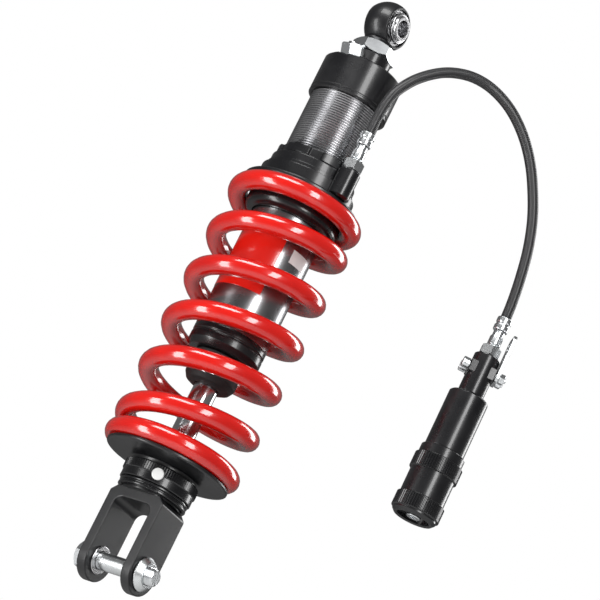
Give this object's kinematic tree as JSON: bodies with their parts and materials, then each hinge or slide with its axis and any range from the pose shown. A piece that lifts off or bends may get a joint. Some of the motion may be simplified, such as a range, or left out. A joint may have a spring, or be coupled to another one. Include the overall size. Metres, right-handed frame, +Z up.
{
  "type": "rear shock absorber",
  "caption": "Coil-over rear shock absorber with an upper eye, a clevis foot, a rebound ring, and a hand-turned hydraulic preload adjuster on a hose.",
  "frame": {"origin": "centre of the ball bearing in the upper eye", "axes": "+Z up along the damper's axis, away from the clevis; +X along the bolts through the upper eye and the clevis"},
  "size_m": [0.1613, 0.1337, 0.3789],
  "materials": {
    "black_anodised": "satin black anodised",
    "black_paint": "satin black paint",
    "tube": "hard anodised grey with a machined thread",
    "zinc": "bright zinc plate",
    "steel": "ground steel",
    "chrome": "polished hard chrome",
    "brass": "machined",
    "floating_metal": "machined",
    "rubber": "matt black",
    "hose_cover": "black braid",
    "spring_red": "glossy red powder coat",
    "white_plastic": "plain white"
  },
  "bodies": {
    "damper_body": {"top_eye": "black_paint", "bearing_race": "steel", "eye_circlip_left": "steel", "eye_circlip_right": "steel", "eye_lock_nut": "zinc", "head_cap": "black_anodised", "valve_cap": "zinc", "body_tube": "tube", "seal_head": "black_anodised", "rod_seal": "rubber", "bump_stop": "rubber", "preload_lock_ring": "black_anodised", "preload_housing": "black_anodised", "hose_union_shock": "zinc", "hose_ferrule_shock": "zinc", "hose": "hose_cover", "hose_ferrule_adjuster": "zinc", "hose_union_adjuster": "zinc", "adjuster_neck": "black_anodised", "adjuster_barrel": "black_anodised", "adjuster_bracket": "zinc", "bracket_bolt_front": "zinc", "bracket_bolt_rear": "zinc", "bracket_nut_front": "zinc", "bracket_nut_rear": "zinc", "spring": "spring_red"},
    "floating_piston": {"floating_piston": "floating_metal", "floating_piston_ring": "rubber"},
    "rod_assembly": {"piston_rod": "chrome", "top_out_bumper": "rubber", "rebound_shims": "steel", "piston": "brass", "piston_band": "rubber", "compression_shims": "steel", "rod_nut": "steel", "lower_spring_seat": "black_paint", "retaining_ring": "black_anodised", "clevis": "black_paint", "clevis_bush_left": "steel", "clevis_bush_right": "steel", "clevis_bolt": "zinc", "clevis_flange_nut": "zinc"},
    "rebound_ring": {"rebound_ring": "black_anodised", "index_button": "white_plastic"},
    "preload_seat": {"upper_spring_seat": "black_anodised"},
    "adjuster_knob": {"adjuster_knob": "black_anodised", "adjuster_screw": "steel", "knob_end_screw": "zinc"},
    "adjuster_plunger": {"adjuster_plunger": "brass"},
    "eye_ball": {"eye_ball": "chrome", "eye_bush_left": "steel", "eye_bush_right": "steel"}
  },
  "joints": [
    {"name": "rod_slide", "type": "slide", "parent": "damper_body", "child": "rod_assembly", "axis": [0, 0, 1], "range_m": [0, 0.046], "stiffness_N_per_m": 70000, "springref_m": -0.008, "deforming": ["spring"]},
    {"name": "floating_piston_slide", "type": "slide", "parent": "damper_body", "child": "floating_piston", "axis": [0, 0, 1], "range_m": [0, 0.0065]},
    {"name": "rebound_ring_turn", "type": "hinge", "parent": "rod_assembly", "child": "rebound_ring", "pos_m": [0, 0, -0.3013], "axis": [0, 0, 1], "range_deg": [-180, 180]},
    {"name": "preload_knob_turn", "type": "hinge", "parent": "damper_body", "child": "adjuster_knob", "pos_m": [0.10646, 0.08022, -0.235], "axis": [0, 0, 1], "range_deg": [0, 1440]},
    {"name": "plunger_slide", "type": "slide", "parent": "damper_body", "child": "adjuster_plunger", "axis": [0, 0, 1], "range_m": [0, 0.0195]},
    {"name": "preload_seat_slide", "type": "slide", "parent": "damper_body", "child": "preload_seat", "axis": [0, 0, -1], "range_m": [0, 0.0081]},
    {"name": "eye_ball_turn", "type": "hinge", "parent": "damper_body", "child": "eye_ball", "pos_m": [0, 0, 0], "axis": [1, 0, 0], "continuous": true}
  ],
  "couplings": [
    {"joint": "floating_piston_slide", "follows": "rod_slide", "ratio": 0.1357},
    {"joint": "plunger_slide", "follows": "preload_knob_turn", "m_per_rad": 0.000772},
    {"joint": "preload_seat_slide", "follows": "preload_knob_turn", "m_per_rad": 0.0003183}
  ]
}
